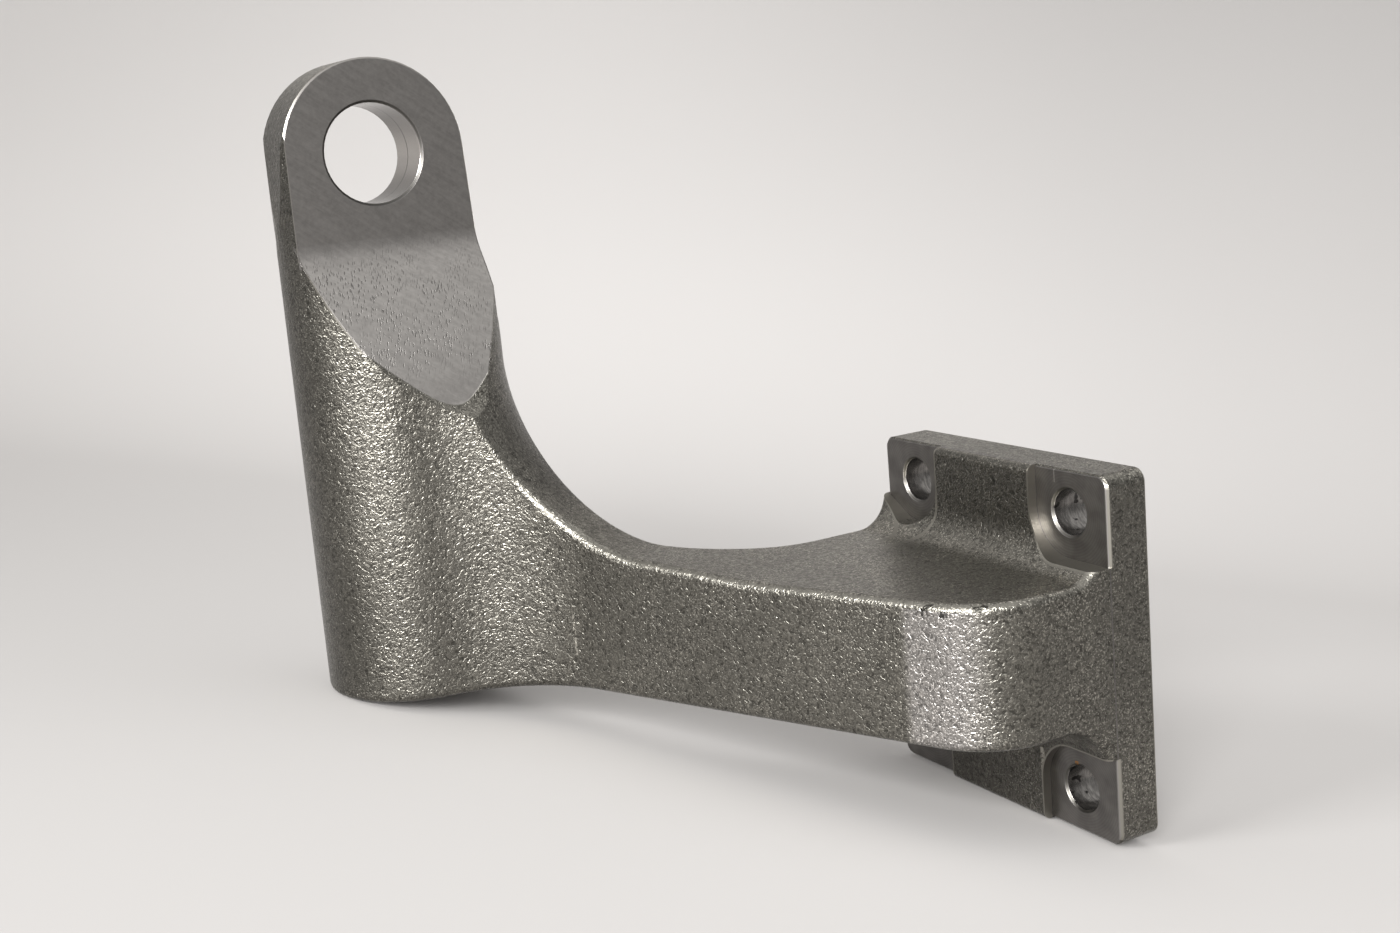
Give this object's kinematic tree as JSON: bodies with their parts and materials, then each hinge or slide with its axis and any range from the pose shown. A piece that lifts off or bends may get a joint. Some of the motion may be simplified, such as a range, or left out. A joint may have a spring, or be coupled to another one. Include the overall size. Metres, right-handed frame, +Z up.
{
  "type": "cast mounting bracket",
  "caption": "One-piece cast bracket: a bolting flange, a swept web and a round boss that rises into a flat, round-headed lug with a pin bore.",
  "frame": {"origin": "centre of the bolt pattern on the flange's mounting face", "axes": "+X out of the mounting face, towards what the bracket is bolted to; +Y along the flange's width and the pin bore, towards the boss's side; +Z up along the lug, from the flange's lower edge towards the pin"},
  "size_m": [0.1467, 0.1867, 0.1995],
  "materials": {
    "cast_steel": "shot-blasted cast steel skin, machined on the lug, bore and spot faces"
  },
  "bodies": {
    "root": {"bracket": "cast_steel"}
  },
  "joints": []
}
